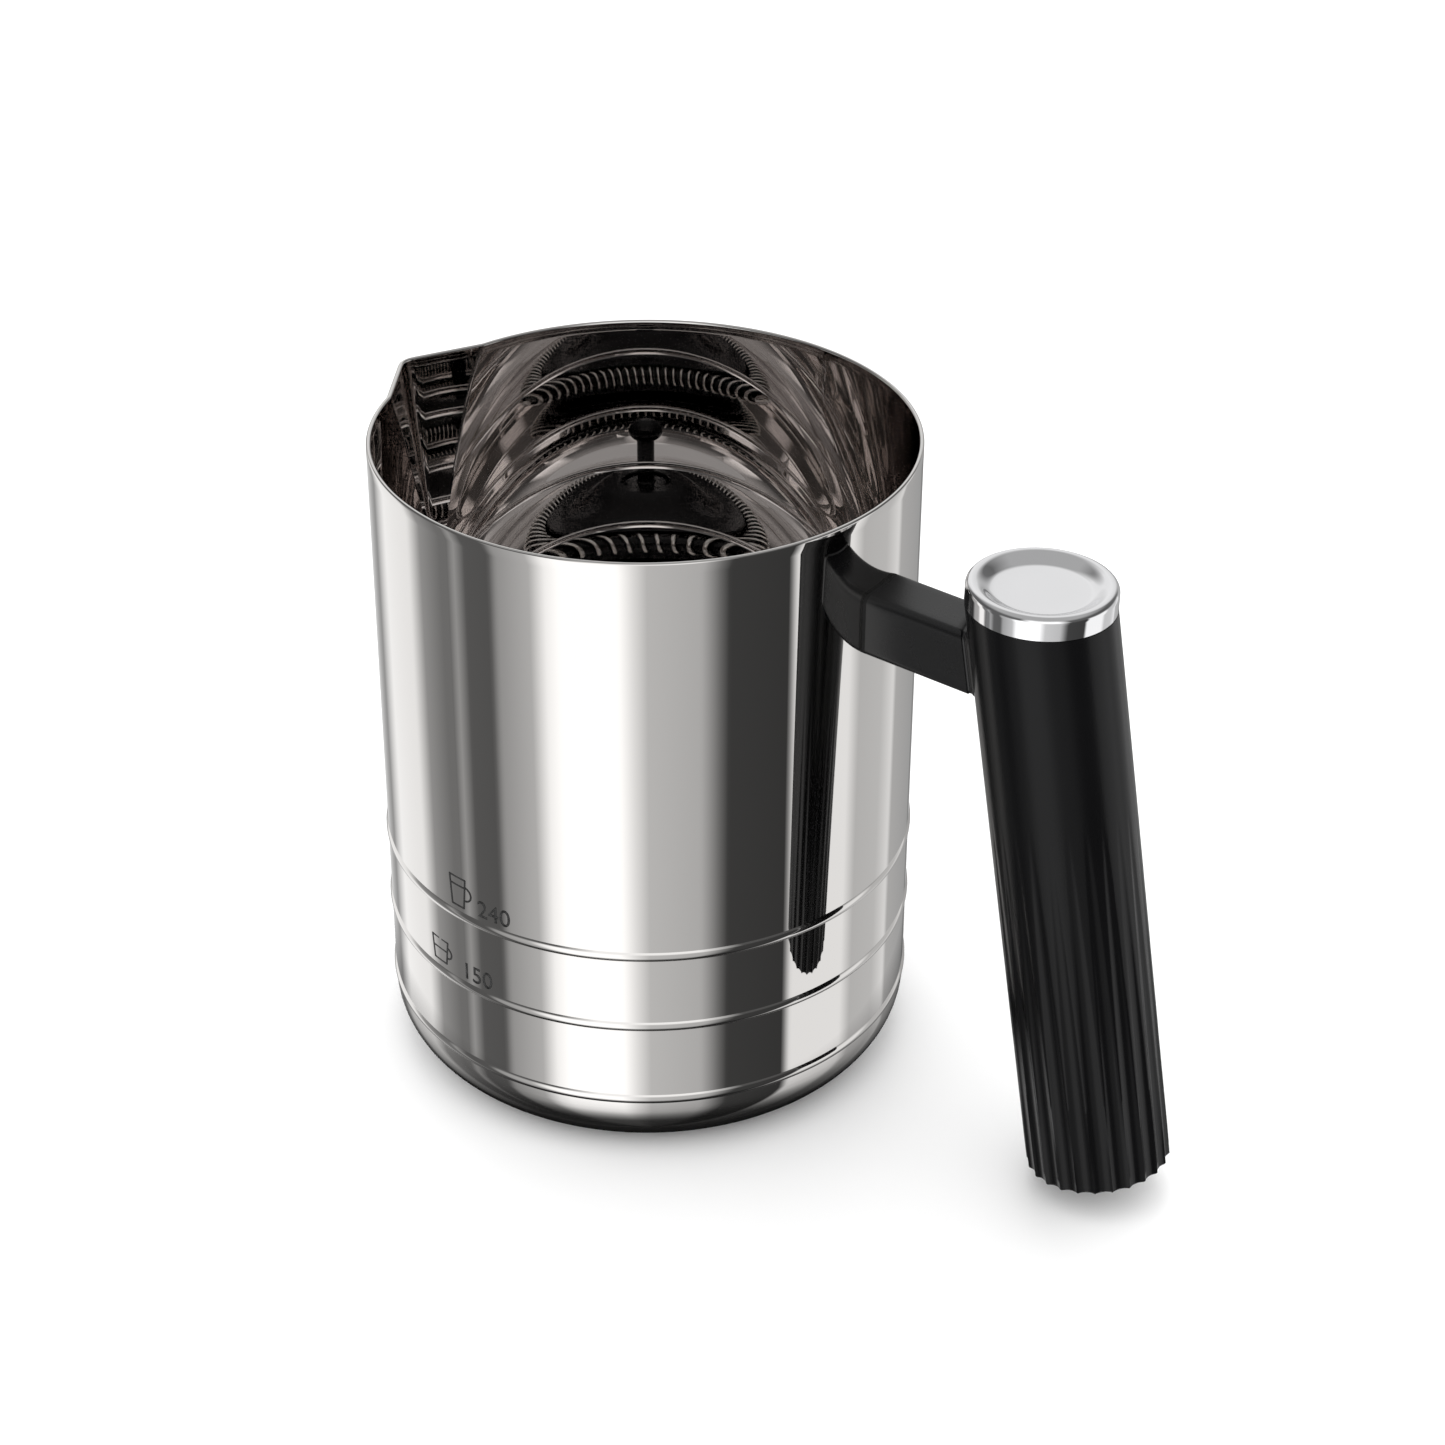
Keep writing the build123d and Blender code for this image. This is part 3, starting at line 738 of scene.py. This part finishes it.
def number_mark(name, text, centre_turn, low, high):
    """Number set in a plain face and wrapped onto the wall."""
    curve = bpy.data.curves.new(name, "FONT")
    curve.body = text
    curve.align_x = "CENTER"
    curve.size = high * 1.38
    holder = bpy.data.objects.new(name, curve)
    bpy.context.scene.collection.objects.link(holder)
    bpy.context.view_layer.update()
    flat = bpy.data.meshes.new_from_object(holder.evaluated_get(bpy.context.evaluated_depsgraph_get()))
    bpy.data.objects.remove(holder)
    vertices = []
    for vertex in flat.vertices:
        across = vertex.co.x + JUG_R * radians(centre_turn)
        vertices.append(on_wall(across, low + vertex.co.y, MARK_LIFT + MARK_THICK))
    faces = [tuple(polygon.vertices) for polygon in flat.polygons]
    piece = mesh_object(name, vertices, faces)
    solid = piece.modifiers.new("thickness", "SOLIDIFY")
    solid.thickness = MARK_THICK * MM
    solid.offset = -1
    piece.data.materials.append(INK)
    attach(piece, "jug")
    return piece


def printed_marks():
    stroke_mark("mark_tall_mug", mug_lines(3.6, 5.6, 0.72), CAMERA_TURN - 134.2, 43.0)
    number_mark("mark_240", "240", CAMERA_TURN - 124.4, 42.9, 3.3)
    stroke_mark("mark_small_mug", mug_lines(4.2, 4.4, 0.55), CAMERA_TURN - 141.0, 29.3)
    number_mark("mark_150", "150", CAMERA_TURN - 129.6, 28.9, 3.3)


# ---- camera, light and stage ----
def add_camera():
    """Camera beside the grip, looking down into the jug."""
    distance = 451.46 * MM
    above_rim = 218.53 * MM
    pitch = radians(31.195)
    heading = radians(1.611)
    roll = radians(0.340)
    turn = radians(CAMERA_TURN)
    spin = Matrix.Rotation(turn, 3, "Z")
    forward = Vector((sin(heading) * cos(pitch), cos(heading) * cos(pitch), -sin(pitch)))
    right = Vector((cos(heading), -sin(heading), 0))
    up = right.cross(forward)
    right_rolled = cos(roll) * right + sin(roll) * up
    up_rolled = cos(roll) * up - sin(roll) * right
    axes = Matrix((spin @ right_rolled, spin @ up_rolled, spin @ -forward)).transposed()
    data = bpy.data.cameras.new("camera")
    data.sensor_width = 36.0
    data.lens = 77.08
    data.clip_start = 0.01
    data.clip_end = 50
    camera = bpy.data.objects.new("camera", data)
    bpy.context.scene.collection.objects.link(camera)
    place = spin @ Vector((0, -distance, 0))
    place.z = RIM_Z * MM + above_rim
    camera.matrix_world = Matrix.Translation(place) @ axes.to_4x4()
    bpy.context.scene.camera = camera


# Studio bands round the jug as (bearing in degrees from the camera's plane, brightness).
STUDIO_BANDS = (
    (-180, 0.20),
    (-176, 0.42),
    (-170, 0.13),
    (-158, 0.12),
    (-154, 0.42),
    (-139, 0.62),
    (-132, 1.35),
    (-126, 1.6),
    (-102, 1.6),
    (-96, 1.1),
    (-90, 0.70),
    (-68, 0.60),
    (-60, 0.20),
    (-56, 0.06),
    (-29, 0.05),
    (-25, 1.1),
    (4, 1.1),
    (11, 0.65),
    (28, 0.68),
    (39, 0.94),
    (42, 0.54),
    (70, 0.38),
    (75, 0.16),
    (78, 0.57),
    (100, 0.78),
    (119, 0.35),
    (132, 1.2),
    (154, 1.15),
    (163, 0.40),
    (176, 0.22),
)


# The same for directions well above the horizon: one light behind and one in front.
UPPER_BANDS = (
    (-180, 0.12),
    (-128, 0.14),
    (-112, 1.3),
    (-70, 1.3),
    (-52, 0.12),
    (10, 0.10),
    (48, 0.16),
    (66, 0.80),
    (90, 0.95),
    (112, 0.90),
    (130, 0.15),
    (176, 0.10),
)


def band_ramp(tree, source, bands):
    """Colour ramp once round the horizon."""
    ramp_node = tree.nodes.new("ShaderNodeValToRGB")
    stops = ramp_node.color_ramp.elements
    for index, (angle, level) in enumerate(bands):
        place = (angle + 180) / 360
        stop = stops[index] if index < 2 else stops.new(place)
        stop.position = place
        stop.color = (level, level, level, 1)
    tree.links.new(source, ramp_node.inputs["Fac"])
    return ramp_node.outputs["Color"]


def background(tree, level):
    node = tree.nodes.new("ShaderNodeBackground")
    node.inputs["Color"].default_value = (level, level, level, 1)
    return node


def studio_world():
    """Even pale light, with upright soft boxes and dark flags that only glossy surfaces see."""
    world = bpy.data.worlds.new("studio")
    bpy.context.scene.world = world
    world.use_nodes = True
    tree = world.node_tree
    tree.nodes.clear()
    coordinates = tree.nodes.new("ShaderNodeTexCoord")
    spread = tree.nodes.new("ShaderNodeSeparateXYZ")
    tree.links.new(coordinates.outputs["Generated"], spread.inputs["Vector"])
    bearing = tree.nodes.new("ShaderNodeMath")
    bearing.operation = "ARCTAN2"
    tree.links.new(spread.outputs["Y"], bearing.inputs[0])
    tree.links.new(spread.outputs["X"], bearing.inputs[1])
    turned = tree.nodes.new("ShaderNodeMath")
    turned.operation = "MULTIPLY_ADD"
    turned.inputs[1].default_value = 1 / (2 * pi)
    turned.inputs[2].default_value = 0.5 - CAMERA_TURN / 360 + 1
    tree.links.new(bearing.outputs[0], turned.inputs[0])
    wrapped = tree.nodes.new("ShaderNodeMath")
    wrapped.operation = "FRACT"
    tree.links.new(turned.outputs[0], wrapped.inputs[0])
    blend = tree.nodes.new("ShaderNodeMix")
    blend.data_type = "RGBA"
    above = ramp(tree, spread.outputs["Z"], 0.05, 0.3, 0.0, 1.0)
    tree.links.new(above, blend.inputs["Factor"])
    tree.links.new(band_ramp(tree, wrapped.outputs[0], STUDIO_BANDS), blend.inputs["A"])
    tree.links.new(band_ramp(tree, wrapped.outputs[0], UPPER_BANDS), blend.inputs["B"])
    overhead = tree.nodes.new("ShaderNodeMix")
    overhead.data_type = "RGBA"
    overhead.inputs["B"].default_value = (0.45, 0.45, 0.45, 1)
    tree.links.new(ramp(tree, spread.outputs["Z"], 0.6, 0.85, 0.0, 1.0), overhead.inputs["Factor"])
    tree.links.new(blend.outputs["Result"], overhead.inputs["A"])
    glossy = tree.nodes.new("ShaderNodeBackground")
    tree.links.new(overhead.outputs["Result"], glossy.inputs["Color"])
    tree.links.new(ramp(tree, spread.outputs["Z"], -0.93, -0.72, 0.12, 1.0), glossy.inputs["Strength"])
    soft = background(tree, 1.45)
    seen = background(tree, 0.985)
    path = tree.nodes.new("ShaderNodeLightPath")
    first = tree.nodes.new("ShaderNodeMixShader")
    second = tree.nodes.new("ShaderNodeMixShader")
    output = tree.nodes.new("ShaderNodeOutputWorld")
    tree.links.new(path.outputs["Is Glossy Ray"], first.inputs[0])
    tree.links.new(soft.outputs[0], first.inputs[1])
    tree.links.new(glossy.outputs[0], first.inputs[2])
    tree.links.new(path.outputs["Is Camera Ray"], second.inputs[0])
    tree.links.new(first.outputs[0], second.inputs[1])
    tree.links.new(seen.outputs[0], second.inputs[2])
    tree.links.new(second.outputs[0], output.inputs["Surface"])


# Painted shadow: size of the dark disc that stands in for the contact shadow seen in the steel.
SHADOW_DISC_R = 62.0
SHADOW_DISC_DARK_R = 42.0


def add_floor():
    """Plain pale floor, kept out of mirror reflections so that the steel shows the studio bands."""
    half = 8.0
    corners = [(-half, -half, 0), (half, -half, 0), (half, half, 0), (-half, half, 0)]
    floor = mesh_object("floor", corners, [(0, 1, 2, 3)], Matrix.Translation((0, 0, -0.0001)))
    material, tree, shader = new_material("pale_floor", (0.93, 0.93, 0.93), 0.0, 0.9)
    shader.inputs["Specular IOR Level"].default_value = 0.0
    tint(tree, shader, noise(tree, 3, 2), (0.925, 0.925, 0.925), (0.935, 0.935, 0.935))
    floor.data.materials.append(material)
    floor.visible_glossy = False


def add_painted_shadow_disc():
    """Painted shadow: dark disc under the jug that only mirror reflections see, soft towards its edge. It
    stands in for the contact shadow that the steel reflects.
    """
    sides = 96
    turns = [2 * pi * i / sides for i in range(sides)]
    ring = [(SHADOW_DISC_R * cos(turn), SHADOW_DISC_R * sin(turn), -0.05) for turn in turns]
    disc = mesh_object("painted_contact_shadow", ring, [tuple(range(sides))])
    # Near-black painted shadow, fading out towards the disc's edge.
    material, tree, shader = new_material("painted_shadow_dark", (0.02, 0.02, 0.02), 0.0, 0.9)
    material.blend_method = "BLEND"
    shader.inputs["Specular IOR Level"].default_value = 0.0
    coordinates = tree.nodes.new("ShaderNodeTexCoord")
    length = tree.nodes.new("ShaderNodeVectorMath")
    length.operation = "LENGTH"
    tree.links.new(coordinates.outputs["Object"], length.inputs[0])
    cover = ramp(tree, length.outputs["Value"], SHADOW_DISC_DARK_R * MM, (SHADOW_DISC_R - 1) * MM, 1.0, 0.0)
    tree.links.new(cover, shader.inputs["Alpha"])
    disc.data.materials.append(material)
    disc.visible_camera = False
    disc.visible_diffuse = False
    disc.visible_shadow = False
    disc.visible_transmission = False


def add_lamp(name, place, target, size, power):
    """Soft square lamp that only lights: it doesn't show in reflections."""
    data = bpy.data.lights.new(name, "AREA")
    data.size = size
    data.energy = power
    lamp = bpy.data.objects.new(name, data)
    bpy.context.scene.collection.objects.link(lamp)
    lamp.location = place
    aim = Vector(target) - Vector(place)
    lamp.rotation_euler = aim.to_track_quat("-Z", "Y").to_euler()
    lamp.visible_glossy = False


def add_stage():
    studio_world()
    add_floor()
    # Painted shadow under the jug, seen only in mirror reflections.
    add_painted_shadow_disc()
    add_lamp("overhead_lamp", (-0.35, 0.45, 1.0), (0.02, 0, 0.03), 0.7, 3.0)
    scene = bpy.context.scene
    scene.view_settings.view_transform = "Standard"
    scene.cycles.max_bounces = 24
    scene.cycles.glossy_bounces = 20
    scene.cycles.diffuse_bounces = 4


dress_cad_nodes()
jug_shell()
handle_arm()
grip_sleeve()
end_cap()
whisk_hub()
whisk_knob()
whisk_coil()
coil_core()
printed_marks()
add_camera()
add_stage()
